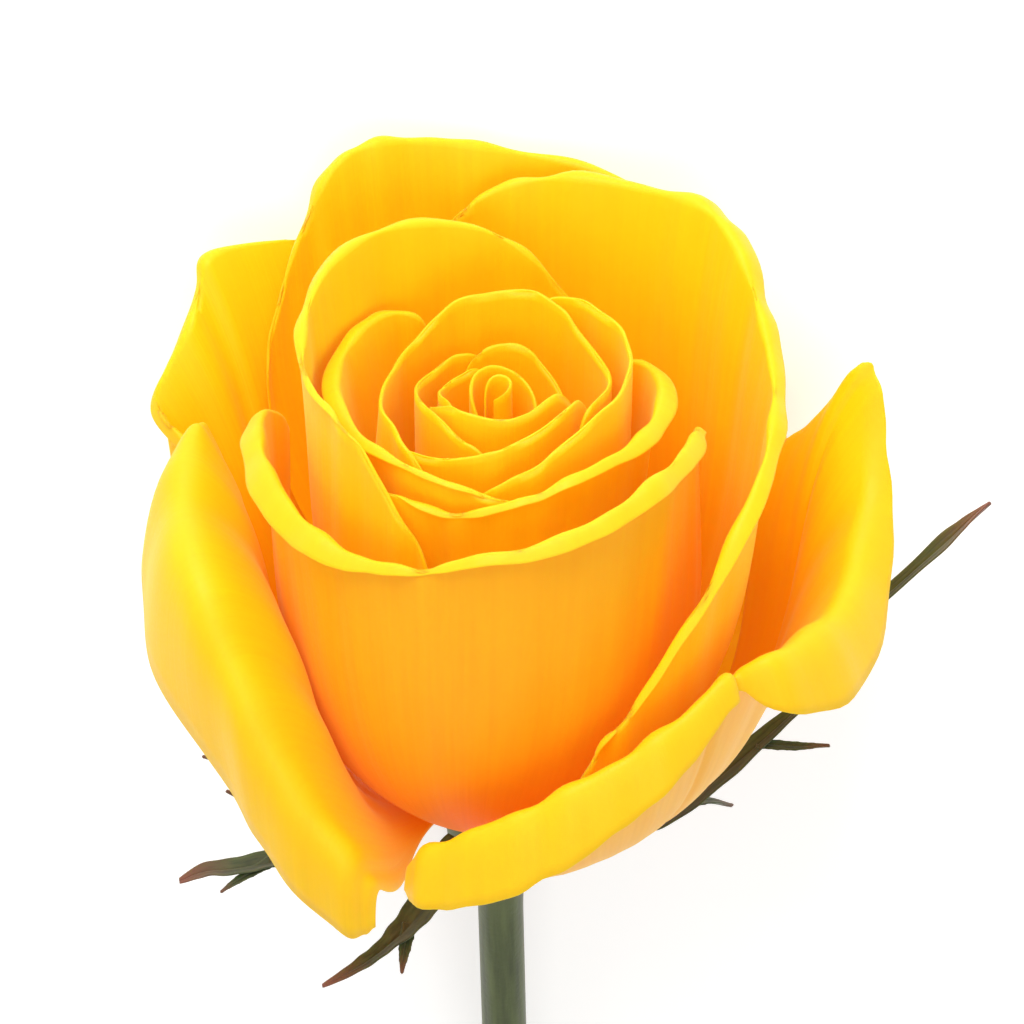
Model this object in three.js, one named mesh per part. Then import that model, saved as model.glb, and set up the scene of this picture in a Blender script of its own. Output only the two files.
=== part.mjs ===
// A single hybrid tea rose, cut with a short length of stem and lying on its side.
// Every petal, sepal, the hip, the pistil and the stem is a closed solid of its own.
// Lengths are in millimetres and angles in degrees.
import * as THREE from "three";

const STEM_RADIUS = 2.55;
const STEM_TOP = -9;
const STEM_END = -118;
const HIP_RADIUS = 6.2;
const HIP_TOP_EDGE = -1.4;
const NOSE_UP = 10.9;
const ROLL = 0.8;
const CLAW_FIRST_RADIUS = 1.2;
const CLAW_RADIUS_STEP = 0.27;
const CLAW_FIRST_HEIGHT = 3.2;
const CLAW_HEIGHT_STEP = 0.13;
const CLAW_WIDTH = 0.25;
const NECK = 0.35;
const LIP_REACH = 0.55;
const SEPAL_THICKNESS = 0.7;
const HEART_HEIGHT = 14;
const PETAL_SPACING = 1;
const EASE = 0.3;

const YELLOW = 0xf4c20d;
const HEART_YELLOW = 0xf0a80a;
const SEPAL_GREEN = 0x5a5f24;
const STEM_GREEN = 0x55602f;
const HIP_GREEN = 0x5b6630;
const PISTIL_COLOUR = 0xc9a13a;

// A petal's rim runs through stations [azimuth, radius, height, lean, out, drop].
// Azimuth 0 is the side that ends up on top, and grows towards the right of the bloom.
// Lean is how far the petal tips outwards at its crest. Out and drop place the edge
// of the rolled lip from the crest. The claw stands on the hip at azimuth `at`.
const PETALS = [
  {
    name: "bud_heart", layer: 0, at: 180, belly: 0.3, launch: 80, thick: 0.34, across: 13, up: 7,
    rim: [[-30, 0.9, 55.5], [60, 1.1, 56.6], [150, 1.4, 57], [220, 1.5, 56.6], [280, 1.4, 54]],
  },
  {
    name: "bud_wrap", layer: 1, at: 186, belly: 0.3, launch: 78, thick: 0.34, across: 13, up: 7,
    rim: [[60, 3.8, 51], [95, 3.8, 54], [150, 3.5, 56], [210, 3.2, 56.8], [265, 2.9, 56],
      [310, 2.7, 53.5], [345, 2.6, 50]],
  },
  {
    name: "whorl_1_left", layer: 2, at: 250, belly: 0.3, launch: 74, thick: 0.34, across: 12, up: 7,
    rim: [[188, 6.3, 53.5], [205, 6.2, 54.6], [222, 6.1, 54.4], [250, 6.1, 54.8], [280, 6.1, 56.4],
      [305, 6.1, 57], [325, 6.1, 54], [335, 6.1, 50]],
  },
  {
    name: "whorl_1_back", layer: 3, at: 150, belly: 0.3, launch: 72, thick: 0.34, across: 11, up: 7,
    rim: [[95, 7.2, 50], [110, 7.2, 52.5], [141, 7.2, 55], [152, 7.2, 56.2], [167, 7.1, 56.9],
      [184, 7, 56.4], [200, 6.9, 55.2], [215, 6.9, 52]],
  },
  {
    name: "whorl_1_front", layer: 4, at: 4, belly: 0.3, launch: 70, thick: 0.34, across: 12, up: 7,
    rim: [[-70, 7.4, 56], [-42, 7.6, 58.6], [-29, 7.7, 58.7], [-10, 7.8, 58.6], [9, 7.8, 58.6],
      [23, 7.9, 59], [40, 8, 60], [52, 8, 59.5], [70, 8, 56]],
  },
  {
    name: "whorl_2_left", layer: 5, at: 265, belly: 0.3, launch: 68, thick: 0.36, across: 14, up: 7,
    rim: [[186, 8.6, 53], [200, 8.6, 54.6], [213, 8.6, 54.8], [236, 8.6, 54.6], [270, 8.6, 56.2],
      [298, 8.7, 57.8], [318, 8.9, 57.6], [336, 9.4, 56.6], [350, 9.8, 55.6], [362, 9.8, 53]],
  },
  {
    name: "whorl_2_front", layer: 6, at: 0, belly: 0.3, launch: 66, thick: 0.36, across: 13, up: 7,
    rim: [[-66, 12.6, 52], [-47, 12.8, 55.3], [-33, 12.5, 55.8], [-18, 12.1, 56.5],
      [-4, 11.6, 57.3], [10, 11.1, 58.1], [26, 10.6, 59], [44, 10, 59.6], [60, 9.6, 58.5],
      [75, 9.4, 55]],
  },
  {
    name: "whorl_3_back", layer: 7, at: 180, belly: 0.34, launch: 62, thick: 0.38, across: 18, up: 7,
    rim: [[44, 11.2, 56], [57, 11.2, 59], [90, 11.3, 57.2], [125, 11.4, 57.2], [144, 11.4, 59.3],
      [160, 11.6, 60.5], [182, 11.6, 60], [200, 11.6, 59.6], [219, 11.6, 57.8], [240, 11.6, 56],
      [270, 11.8, 56.6], [300, 13.2, 58], [318, 14, 57.2], [330, 14.2, 54.5]],
  },
  {
    name: "whorl_3_right", layer: 8, at: 78, belly: 0.34, launch: 58, thick: 0.38, across: 15, up: 7,
    rim: [[-8, 14.3, 53.8], [1, 14.3, 55.4], [13, 14.2, 56.9], [25, 13.9, 58.6], [43, 13.6, 60],
      [60, 13.5, 60.4], [80, 13.5, 60], [100, 13.6, 59.6], [118, 13.7, 59.9], [133, 13.7, 59.8],
      [147, 13.7, 59.3], [160, 13.6, 58], [172, 13.5, 55]],
  },
  {
    name: "whorl_3_left", layer: 9, at: -70, belly: 0.34, launch: 54, thick: 0.4, across: 15, up: 7,
    rim: [[-152, 15.2, 53], [-146, 16, 55.4, 5, 0.8, 0], [-137, 16.8, 56.3, 8, 1, 0],
      [-126, 16.9, 56.6, 10, 1.2, 0], [-112, 16.7, 56.5, 10, 1.4, 0], [-95, 16.5, 56.8, 10, 1.6, 0.3],
      [-75, 16.4, 57.8, 10, 1.5, 0.4], [-57, 16.2, 57, 8, 1.1, 0.3], [-42, 16, 57, 6, 0.7, 0.2],
      [-27, 15.8, 56.6, 4, 0.5, 0.2], [-14, 15.8, 55.8, 3, 0.4, 0.1], [-1, 15.8, 55, 3, 0.3, 0],
      [8, 15.6, 53.5]],
  },
  {
    name: "whorl_4_front", layer: 10, at: 30, belly: 0.36, launch: 50, thick: 0.4, across: 16, up: 7,
    rim: [[-46, 18, 53], [-38, 17.9, 54.2], [-29, 17.7, 54.1, 5, 0.5, 0], [-19, 17.3, 53.6, 8, 0.7, 0.2],
      [-8, 16.8, 54, 8, 0.9, 0.2], [4, 17, 55.2, 6, 0.8, 0.2], [14, 17, 56.1, 6, 0.8, 0.2],
      [26, 16.9, 57, 7, 1, 0.2], [39, 16.6, 57.4, 8, 1.2, 0.3], [54, 16.5, 56.8, 8, 1.5, 0.4],
      [67, 16.5, 56.8, 8, 1.8, 0.5], [82, 16.4, 56.6, 8, 2, 0.5], [101, 16.4, 55.4, 8, 1.6, 0.4],
      [117, 16.3, 53.7, 6, 1, 0], [130, 16.2, 51]],
  },
  {
    name: "collar_left", layer: 12, at: 250, belly: 0.38, launch: 42, thick: 0.42, across: 18, up: 8,
    rim: [[158, 20.6, 53], [172, 20.4, 58.4, 4, 0.6, 0], [184, 20.3, 61.3, 6, 1, 0.2],
      [202, 20.2, 63.2, 8, 1.6, 0.4], [221, 20.1, 64.4, 8, 1.6, 0.5], [242, 20, 64.3, 8, 1.2, 0.4],
      [258, 20, 63, 6, 0.8, 0.2], [275, 20, 62, 4, 0.6, 0.2], [293, 20, 62, 2, 0.5, 0.1],
      [305, 19.8, 61.6, 0, 0.4, 0], [316, 19.7, 59.6], [326, 19.8, 55.8], [335, 20, 51.2],
      [341, 20.2, 46], [346, 20.2, 36]],
  },
  {
    name: "front_guard", layer: 13, at: -15, belly: 0.46, launch: 20, thick: 0.45, across: 18, up: 8,
    rim: [[-112, 24, 44], [-100, 24.3, 50, 4, 1.2, 0.4], [-84, 24.5, 52.3, 8, 2.1, 1],
      [-70, 24.6, 52.2, 10, 2.5, 1.3], [-55, 24.6, 51.4, 10, 2.6, 1.4], [-41, 24.6, 50.8, 8, 2, 1], [-29, 24.5, 51, 6, 1.1, 0.5],
      [-16, 24.5, 52.2, 5, 0.7, 0.2], [-4, 24.4, 54.4, 6, 1.1, 0.4], [14, 24, 55.8, 7, 1.5, 0.7],
      [30, 23.4, 57.2, 8, 1.7, 0.8], [46, 22.6, 58, 8, 1.8, 0.9], [62, 21.6, 57, 8, 1.6, 0.8],
      [76, 20.8, 55, 4, 1, 0.4], [88, 20.6, 50]],
  },
  {
    name: "collar_right", layer: 15, at: 105, belly: 0.42, launch: 24, thick: 0.45, across: 18, up: 8,
    rim: [[18, 26, 24], [24, 26.3, 28.6, 0, 0.3, 0], [33, 27, 34.6, 4, 0.6, 0.2], [47, 28, 44.3, 8, 1, 0.3],
      [63, 28.2, 51.6, 8, 1.6, 0.6], [80, 28.2, 54.6, 6, 1.4, 0.8], [96, 28.2, 56.5, 8, 1.5, 0.9],
      [110, 28.4, 59.6, 9, 1.8, 1], [122, 28.8, 63, 12, 2.4, 1.2], [133, 29, 64.4, 12, 2.8, 1.2],
      [149, 28.8, 63.2, 12, 2.6, 1], [167, 28.4, 62.6, 10, 2, 0.6], [180, 28, 61, 8, 1.4, 0.3],
      [190, 27.4, 58], [198, 27, 53]],
  },
  {
    name: "crown_back", layer: 16, at: 188, belly: 0.42, launch: 24, thick: 0.45, across: 14, up: 8,
    rim: [[134, 31.4, 55], [147, 31.8, 59.5, 8, 0.8, 0.3], [161, 32.2, 61.4, 10, 1.6, 0.8],
      [180, 32.4, 62.8, 12, 2.4, 1.2], [193, 32.4, 64.4, 12, 2.4, 1.2], [204, 32.4, 65.6, 12, 2.2, 1],
      [212, 32.3, 64.6, 12, 1.6, 0.6], [219, 32, 60, 8, 0.8, 0.3], [227, 31.6, 53], [234, 31, 44]],
  },
  {
    name: "wing_left", layer: 17, at: 250, belly: 0.44, launch: 18, thick: 0.45, across: 13, up: 8,
    rim: [[206, 35, 48, 20], [213, 36, 52.5, 24, 0.8, 0.2], [223, 37, 54.6, 26, 1.2, 0.4],
      [232, 38.4, 55.4, 30, 1.2, 0.3], [236, 38.2, 53.4, 30, 1, 0.4], [241, 37.4, 50, 30, 1, 0.6],
      [246, 38.4, 46.4, 34, 1, 0.8], [249.5, 38.6, 43, 34, 1.4, 1.4], [252, 34, 39, 22, 0.6, 0.6],
      [254, 30.4, 34, 12], [258, 28, 27, 8]],
  },
  {
    name: "apron_left", layer: 18, at: -62, belly: 0.44, launch: 12, thick: 0.5, across: 15, up: 8,
    rim: [[-102, 31.6, 46, 24, 1, 2], [-98, 31.2, 47, 32, 3.4, 5.4], [-91, 30.6, 45.6, 40, 6.4, 9.6],
      [-82, 30.2, 44.4, 44, 8, 14], [-70, 30.4, 43.4, 48, 7, 17], [-60, 30.6, 41, 50, 5, 19],
      [-51, 30.8, 35, 50, 4, 17.5], [-44, 30.8, 29, 50, 4, 15], [-36, 30.6, 21.8, 50, 3.6, 12.5],
      [-29, 30.5, 16.8, 48, 2.8, 10], [-25.5, 30.3, 13.6, 46, 2.2, 7.4], [-24.2, 30, 11.4, 40, 1.6, 4]],
  },
  {
    name: "apron_right", layer: 19, at: 46, belly: 0.58, launch: 9, thick: 0.5, across: 22, up: 8,
    rim: [[-19.6, 28.4, 14, 24, 1.6, 2], [-15, 29, 17.4, 22, 3, 5], [-8, 29.6, 20.6, 22, 3.8, 6.6],
      [2, 30, 23.8, 22, 4.2, 6.8], [11, 30.2, 26.8, 22, 4.2, 6.4], [20, 30.6, 29.4, 22, 4, 5.4],
      [29, 31, 31.8, 22, 3.6, 4.2], [38, 31.4, 34.2, 24, 2.8, 3], [46, 31.8, 36.2, 26, 2, 2],
      [50.5, 31.6, 34.8, 28, 1.2, 1.6], [55, 32.8, 36, 30, 4.6, 5.4], [66, 33.8, 34.4, 32, 6, 6.6],
      [77, 35.4, 33.8, 34, 5.4, 6], [90, 37, 35.8, 36, 4.6, 0.8], [100, 39, 40.6, 38, 2.8, -1.6],
      [105.5, 40, 46, 36, 1.8, -1.8], [108.5, 39.8, 48.4, 32, 1, -1], [112, 37, 42, 28, 0.8, -0.4],
      [118, 34.6, 35, 24]],
  },
  {
    name: "back_guard_right", layer: 20, at: 129, belly: 0.44, launch: 16, thick: 0.5, across: 13, up: 8,
    rim: [[101, 35.4, 13, 18], [108, 35.4, 17, 20, 0.4, 0.4], [114, 35.6, 21.5, 20, 0.6, 0.5],
      [119, 36, 27, 22, 0.8, 0.6], [125, 37, 32.6, 24, 1.6, 1],
      [132, 38, 35.8, 26, 2.2, 1.6], [140, 38.2, 36.6, 26, 2.4, 1.8], [148, 34.6, 35, 24, 1.4, 1.2],
      [155, 31.2, 29, 18, 0.6, 0.6], [160, 28.6, 22, 12]],
  },
  {
    name: "back_guard_left", layer: 21, at: 228, belly: 0.44, launch: 14, thick: 0.5, across: 12, up: 8,
    rim: [[202, 33, 28, 16], [208, 34.2, 36, 20, 0.8, 0.6], [214, 36.6, 41.5, 24, 1.4, 1.2],
      [222, 39.4, 44.6, 28, 2.4, 2], [230, 40.2, 44.8, 30, 2.6, 2.2], [238, 39.4, 41.5, 28, 2.2, 1.8],
      [246, 38, 34, 22, 1, 0.8], [252, 36.4, 26, 16]],
  },
];

// A sepal's midrib runs through stations [azimuth, radius, height, half width], and a
// row with a fifth and sixth number carries a side lobe: [reach, how far it sweeps on].
const SEPALS = [
  {
    name: "sepal_left",
    spine: [[-104, 6.4, -3.4, 2.2], [-101, 11, -7, 2.8], [-99, 16, -10, 2.6], [-98, 21, -12.4, 2.4],
      [-97, 26, -14.2, 2], [-96, 31, -15.6, 1.4], [-96, 36.5, -18, 0.5]],
    lobes: { 3: [-6.5, 5], 2: [4.5, 3] },
  },
  {
    name: "sepal_front",
    spine: [[-38, 6.4, -3.4, 2], [-36, 11, -5.4, 2.2], [-35, 16, -7, 1.9], [-36, 21, -7.6, 1.4],
      [-38, 25, -8, 0.9], [-41, 29, -8.6, 0.35]],
    lobes: { 3: [3, 3] },
  },
  {
    name: "sepal_right",
    spine: [[80, 7, -3.4, 2], [92, 13.4, -6.4, 2.3], [96, 19.5, -5.6, 2], [99, 26, -1, 1.7],
      [101, 32, 3.6, 1.3], [102, 36.5, 8, 0.9], [103, 41, 12, 0.35]],
    lobes: { 3: [4.5, 3.6], 4: [-3.4, 3] },
  },
  {
    name: "sepal_far_right",
    spine: [[132, 6.4, -3.4, 2], [128, 12.5, -6.6, 2.3], [121, 21, -5, 2.1], [117, 30, -0.6, 1.9],
      [113, 38.5, 6.4, 1.7], [110, 46, 15, 1.4], [108, 51.5, 22, 1.6], [107, 56, 27.5, 0.4]],
    lobes: { 4: [-3.6, 3] },
  },
  {
    name: "sepal_under",
    spine: [[-164, 6.4, -3.4, 2.2], [-164, 10, -6.6, 2.6], [-163, 12.5, -11, 2.5], [-162, 14, -17, 2],
      [-161, 14.6, -23, 1.3], [-160, 14.4, -29, 0.4]],
    lobes: { 2: [4.4, 3.4] },
  },
];

function splinePoint(rows, at) {
  const last = rows.length - 1;
  const i = Math.min(Math.floor(at), last - 1);
  const f = at - i;
  const point = [];
  for (let k = 0; k < 6; k += 1) {
    const value = (n) => {
      if (n < 0) {
        return 2 * (rows[0][k] ?? 0) - (rows[1][k] ?? 0);
      }
      if (n > last) {
        return 2 * (rows[last][k] ?? 0) - (rows[last - 1][k] ?? 0);
      }
      return rows[n][k] ?? 0;
    };
    const [a, b, c, d] = [value(i - 1), value(i), value(i + 1), value(i + 2)];
    const square = (2 * a - 5 * b + 4 * c - d) * f * f;
    const cube = (3 * b - a - 3 * c + d) * f * f * f;
    point.push(0.5 * (2 * b + (c - a) * f + square + cube));
  }
  return point;
}

function polar(azimuth, radius, height) {
  const a = THREE.MathUtils.degToRad(azimuth);
  return new THREE.Vector3(radius * Math.sin(a), -radius * Math.cos(a), height);
}

// The petal climbs from its claw along a Bezier curve in each upright plane, bellies
// out, reaches the crest at its lean angle and rolls over it into the lip.
function petalSheet(petal) {
  const rows = [];
  const lipRows = petal.rim.some((s) => (s[4] ?? 0) + (s[5] ?? 0) > 1.9) ? 3 : 1;
  const claw = CLAW_FIRST_RADIUS + CLAW_RADIUS_STEP * petal.layer;
  const foot = CLAW_FIRST_HEIGHT - CLAW_HEIGHT_STEP * petal.layer;
  const launch = THREE.MathUtils.degToRad(petal.launch);
  for (let j = 0; j < petal.up + lipRows; j += 1) {
    const row = [];
    for (let i = 0; i < petal.across; i += 1) {
      const station = splinePoint(petal.rim, (i / (petal.across - 1)) * (petal.rim.length - 1));
      const [azimuth, radius, height] = station;
      const lean = THREE.MathUtils.degToRad(station[3]);
      const out = station[4];
      const drop = station[5];
      if (j < petal.up) {
        const t = j / (petal.up - 1);
        const spread = CLAW_WIDTH + (1 - CLAW_WIDTH) * (1 - (1 - t) ** 2.4);
        const chord = Math.hypot(radius - claw, height - foot);
        const r1 = claw + petal.belly * chord * Math.cos(launch);
        const z1 = foot + petal.belly * chord * Math.sin(launch);
        const r2 = radius - NECK * chord * Math.sin(lean);
        const z2 = height - NECK * chord * Math.cos(lean);
        const b = [(1 - t) ** 3, 3 * (1 - t) ** 2 * t, 3 * (1 - t) * t * t, t ** 3];
        row.push(polar(petal.at + (azimuth - petal.at) * spread,
          b[0] * claw + b[1] * r1 + b[2] * r2 + b[3] * radius,
          b[0] * foot + b[1] * z1 + b[2] * z2 + b[3] * height));
      } else {
        const u = (j - petal.up + 1) / lipRows;
        const reach = LIP_REACH * Math.hypot(out, drop) + 0.05;
        const r1 = radius + reach * Math.sin(lean);
        const z1 = height + reach * Math.cos(lean);
        const b = [(1 - u) ** 2, 2 * (1 - u) * u, u * u];
        row.push(polar(azimuth,
          b[0] * radius + b[1] * r1 + b[2] * (radius + out),
          b[0] * height + b[1] * z1 + b[2] * (height - drop + 0.1)));
      }
    }
    rows.push(row);
  }
  return rows;
}

// The petals are laid round the axis from the inside out. `taken` holds how far out the
// petals already in place reach, in cells of azimuth and level, and a later petal is
// eased outwards where it would touch them. Level is the height above the bloom's heart,
// and below the heart it follows the angle of the bowl.
const taken = new Map();

function outward(point) {
  return point.clone().sub(new THREE.Vector3(0, 0, Math.max(point.z, HEART_HEIGHT)));
}

function cellName(point, turn, shift) {
  const arm = outward(point);
  const azimuth = THREE.MathUtils.radToDeg(Math.atan2(arm.x, -arm.y)) + 360 + turn;
  const below = THREE.MathUtils.radToDeg(Math.asin(arm.z / arm.length())) * 0.3;
  const level = Math.max(point.z - HEART_HEIGHT, 0) + below + 40 + shift;
  return `${Math.floor((azimuth % 360) / 4)},${Math.floor(level / 2.5)}`;
}

function reachNear(point) {
  let reach = 0;
  for (const [turn, shift] of [[-1.9, -1.2], [-1.9, 1.2], [1.9, -1.2], [1.9, 1.2]]) {
    reach = Math.max(reach, taken.get(cellName(point, turn, shift)) ?? 0);
  }
  return reach;
}

function settle(rows) {
  const pushes = rows.map((row) => row.map((point) => {
    const reach = reachNear(point);
    return reach > 0 ? Math.max(0, reach + PETAL_SPACING - outward(point).length()) : 0;
  }));
  for (let pass = 0; pass < 8; pass += 1) {
    rows.forEach((row, j) => row.forEach((point, i) => {
      for (const [dj, di] of [[0, 1], [0, -1], [1, 0], [-1, 0]]) {
        const near = rows[j + dj]?.[i + di];
        if (near) {
          const eased = pushes[j + dj][i + di] - EASE * near.distanceTo(point);
          pushes[j][i] = Math.max(pushes[j][i], eased);
        }
      }
    }));
  }
  rows.forEach((row, j) => row.forEach((point, i) => {
    point.addScaledVector(outward(point).normalize(), pushes[j][i]);
  }));
  for (let j = 0; j < rows.length - 1; j += 1) {
    for (let i = 0; i < rows[0].length - 1; i += 1) {
      for (let k = 0; k < 25; k += 1) {
        const [u, v] = [(k % 5) / 4, Math.floor(k / 5) / 4];
        const low = rows[j][i].clone().lerp(rows[j][i + 1], u);
        const high = rows[j + 1][i].clone().lerp(rows[j + 1][i + 1], u);
        const point = low.lerp(high, v);
        const cell = cellName(point, 0, 0);
        taken.set(cell, Math.max(taken.get(cell) ?? 0, outward(point).length()));
      }
    }
  }
}

// A closed solid of the given thickness on both sides of a grid of points.
function solidSheet(rows, thickness) {
  const high = rows.length;
  const wide = rows[0].length;
  const positions = [];
  const index = [];
  for (const side of [1, -1]) {
    for (let j = 0; j < high; j += 1) {
      for (let i = 0; i < wide; i += 1) {
        const across = rows[j][Math.min(i + 1, wide - 1)].clone().sub(rows[j][Math.max(i - 1, 0)]);
        const up = rows[Math.min(j + 1, high - 1)][i].clone().sub(rows[Math.max(j - 1, 0)][i]);
        const normal = across.cross(up).normalize();
        const p = rows[j][i].clone().addScaledVector(normal, (side * thickness) / 2);
        positions.push(p.x, p.y, p.z);
      }
    }
  }
  const far = high * wide;
  for (let j = 0; j < high - 1; j += 1) {
    for (let i = 0; i < wide - 1; i += 1) {
      const a = j * wide + i;
      index.push(a, a + 1, a + wide + 1, a, a + wide + 1, a + wide);
      index.push(far + a, far + a + wide + 1, far + a + 1, far + a, far + a + wide, far + a + wide + 1);
    }
  }
  const edge = [];
  for (let i = 0; i < wide; i += 1) {
    edge.push(i);
  }
  for (let j = 1; j < high; j += 1) {
    edge.push(j * wide + wide - 1);
  }
  for (let i = wide - 2; i >= 0; i -= 1) {
    edge.push((high - 1) * wide + i);
  }
  for (let j = high - 2; j >= 1; j -= 1) {
    edge.push(j * wide);
  }
  edge.forEach((a, n) => {
    const b = edge[(n + 1) % edge.length];
    index.push(a, far + a, far + b, a, far + b, b);
  });
  const geometry = new THREE.BufferGeometry();
  geometry.setAttribute("position", new THREE.Float32BufferAttribute(positions, 3));
  geometry.setIndex(index);
  geometry.computeVertexNormals();
  return geometry;
}

// A sepal is a narrow blade along its midrib, cupped a little, with pointed side lobes.
function sepalSheet(sepal) {
  const midrib = sepal.spine.map((s) => polar(s[0], s[1], s[2]));
  return midrib.map((point, n) => {
    const next = midrib[Math.min(n + 1, midrib.length - 1)];
    const before = midrib[Math.max(n - 1, 0)];
    const along = next.clone().sub(before).normalize();
    const sideways = along.clone().cross(polar(sepal.spine[n][0], -1, 4)).normalize();
    const face = sideways.clone().cross(along);
    const half = sepal.spine[n][3];
    const [reach, sweep] = sepal.lobes[n] ?? [0, 0];
    return [-1, -0.5, 0, 0.5, 1].map((v) => {
      const p = point.clone().addScaledVector(sideways, v * half);
      p.addScaledVector(face, 0.25 * half * v * v);
      if (reach !== 0 && v === Math.sign(reach)) {
        p.addScaledVector(sideways, reach - v * half);
        p.addScaledVector(along, sweep);
      }
      return p;
    });
  });
}

function turned(profile, sides) {
  const geometry = new THREE.LatheGeometry(profile.map(([r, z]) => new THREE.Vector2(r, z)), sides);
  geometry.rotateX(Math.PI / 2);
  return geometry;
}

function finish(colour, roughness) {
  return new THREE.MeshStandardMaterial({ color: colour, roughness, metalness: 0, side: THREE.DoubleSide });
}

const rose = new THREE.Group();
const turnedRound = new THREE.Group();
const lying = new THREE.Group();
const bloom = new THREE.Group();
turnedRound.rotation.z = Math.PI;
lying.rotation.x = -THREE.MathUtils.degToRad(90 - NOSE_UP);
bloom.rotation.z = THREE.MathUtils.degToRad(ROLL);
rose.add(turnedRound);
turnedRound.add(lying);
lying.add(bloom);

function addPiece(name, geometry, material) {
  const mesh = new THREE.Mesh(geometry, material);
  mesh.name = name;
  bloom.add(mesh);
}

for (const petal of PETALS) {
  const colour = petal.layer < 7 ? HEART_YELLOW : YELLOW;
  const sheet = petalSheet(petal);
  settle(sheet);
  addPiece(petal.name, solidSheet(sheet, petal.thick), finish(colour, 0.55));
}

for (const sepal of SEPALS) {
  addPiece(sepal.name, solidSheet(sepalSheet(sepal), SEPAL_THICKNESS), finish(SEPAL_GREEN, 0.7));
}

addPiece("pistil", turned([[0, 2.9], [0.42, 2.9], [0.42, 8.4], [0.6, 9.2], [0.35, 9.8], [0, 9.9]], 10),
  finish(PISTIL_COLOUR, 0.6));
addPiece("hip", turned([[0, -8.6], [3, -8.6], [4.6, -7.4], [5.9, -5.6], [HIP_RADIUS, -3.8],
  [5.9, HIP_TOP_EDGE - 0.6], [5.2, HIP_TOP_EDGE], [0, 2.4]], 20), finish(HIP_GREEN, 0.6));

// The stem is a slightly curved rod, widened under the hip and cut square at its end.
const stemRings = [[STEM_TOP, 3.1, 0], [STEM_TOP - 3, 2.75, 0.02], [STEM_TOP - 9, STEM_RADIUS, 0.1],
  [-38, STEM_RADIUS, 0.5], [-64, STEM_RADIUS - 0.05, 1.1], [-92, STEM_RADIUS - 0.05, 1],
  [STEM_END, STEM_RADIUS, 0]];
const STEM_SIDES = 14;
const stemPositions = [];
const stemIndex = [];
for (const [height, radius, bow] of stemRings) {
  for (let i = 0; i < STEM_SIDES; i += 1) {
    const p = polar((360 * i) / STEM_SIDES, radius, height);
    stemPositions.push(p.x + bow, p.y, p.z);
  }
}
const topCentre = stemPositions.length / 3;
stemPositions.push(0, 0, STEM_TOP, 0, 0, STEM_END);
for (let i = 0; i < STEM_SIDES; i += 1) {
  const j = (i + 1) % STEM_SIDES;
  for (let n = 0; n < stemRings.length - 1; n += 1) {
    const a = n * STEM_SIDES;
    stemIndex.push(a + i, a + STEM_SIDES + i, a + STEM_SIDES + j, a + i, a + STEM_SIDES + j, a + j);
  }
  const end = (stemRings.length - 1) * STEM_SIDES;
  stemIndex.push(topCentre, i, j, topCentre + 1, end + j, end + i);
}
const stemGeometry = new THREE.BufferGeometry();
stemGeometry.setAttribute("position", new THREE.Float32BufferAttribute(stemPositions, 3));
stemGeometry.setIndex(stemIndex);
stemGeometry.computeVertexNormals();
addPiece("stem", stemGeometry, finish(STEM_GREEN, 0.55));

// The rose rests on its lowest petals and the cut end of its stem, so the whole of it
// is lifted until the lowest point is at zero, and centred over the origin.
rose.updateMatrixWorld(true);
const box = new THREE.Box3().setFromObject(rose, true);
turnedRound.position.set(-(box.min.x + box.max.x) / 2, -(box.min.y + box.max.y) / 2, -box.min.z);

export default rose;
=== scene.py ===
# Yellow hybrid tea rose, cut with a short stem and lying on a pale table.
import math
import bpy
import numpy as np
from mathutils import Matrix, Vector


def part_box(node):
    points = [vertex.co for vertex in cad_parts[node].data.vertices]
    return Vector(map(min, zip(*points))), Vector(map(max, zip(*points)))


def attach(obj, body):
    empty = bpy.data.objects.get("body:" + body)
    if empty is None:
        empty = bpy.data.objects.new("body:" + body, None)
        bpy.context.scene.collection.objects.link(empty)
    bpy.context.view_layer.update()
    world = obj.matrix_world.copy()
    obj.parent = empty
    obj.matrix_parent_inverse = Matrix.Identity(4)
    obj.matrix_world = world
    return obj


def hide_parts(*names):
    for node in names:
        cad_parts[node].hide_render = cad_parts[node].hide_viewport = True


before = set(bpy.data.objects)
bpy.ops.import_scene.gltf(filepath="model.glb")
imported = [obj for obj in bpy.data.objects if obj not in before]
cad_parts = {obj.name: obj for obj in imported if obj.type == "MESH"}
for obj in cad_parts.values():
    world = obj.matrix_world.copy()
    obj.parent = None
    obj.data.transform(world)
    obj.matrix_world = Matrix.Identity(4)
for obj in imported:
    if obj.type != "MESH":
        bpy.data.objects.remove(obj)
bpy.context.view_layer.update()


# The lie of the rose. It rests on two guard petals and the cut end of its stem, so the
# bloom's axis is raised a little at the nose. Sizes are given in the bloom's own frame,
# in millimetres: z along the axis from the top of the hip, and -y the side that is up.
NOSE_UP = math.radians(10.9)
ROLL = math.radians(0.8)
HIP_BOX_REACH = Vector((-0.0062, -0.00236, -0.00685))
bloom_lie = (
    Matrix.Rotation(math.pi, 3, "Z")
    @ Matrix.Rotation(NOSE_UP - math.pi / 2, 3, "X")
    @ Matrix.Rotation(ROLL, 3, "Z")
)
bloom_foot = Vector(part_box("hip")[0]) - HIP_BOX_REACH


def in_place(points):
    turn = np.array(bloom_lie)
    flat = np.asarray(points, float).reshape(-1, 3) / 1000
    return flat @ turn.T + np.array(bloom_foot)


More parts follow.
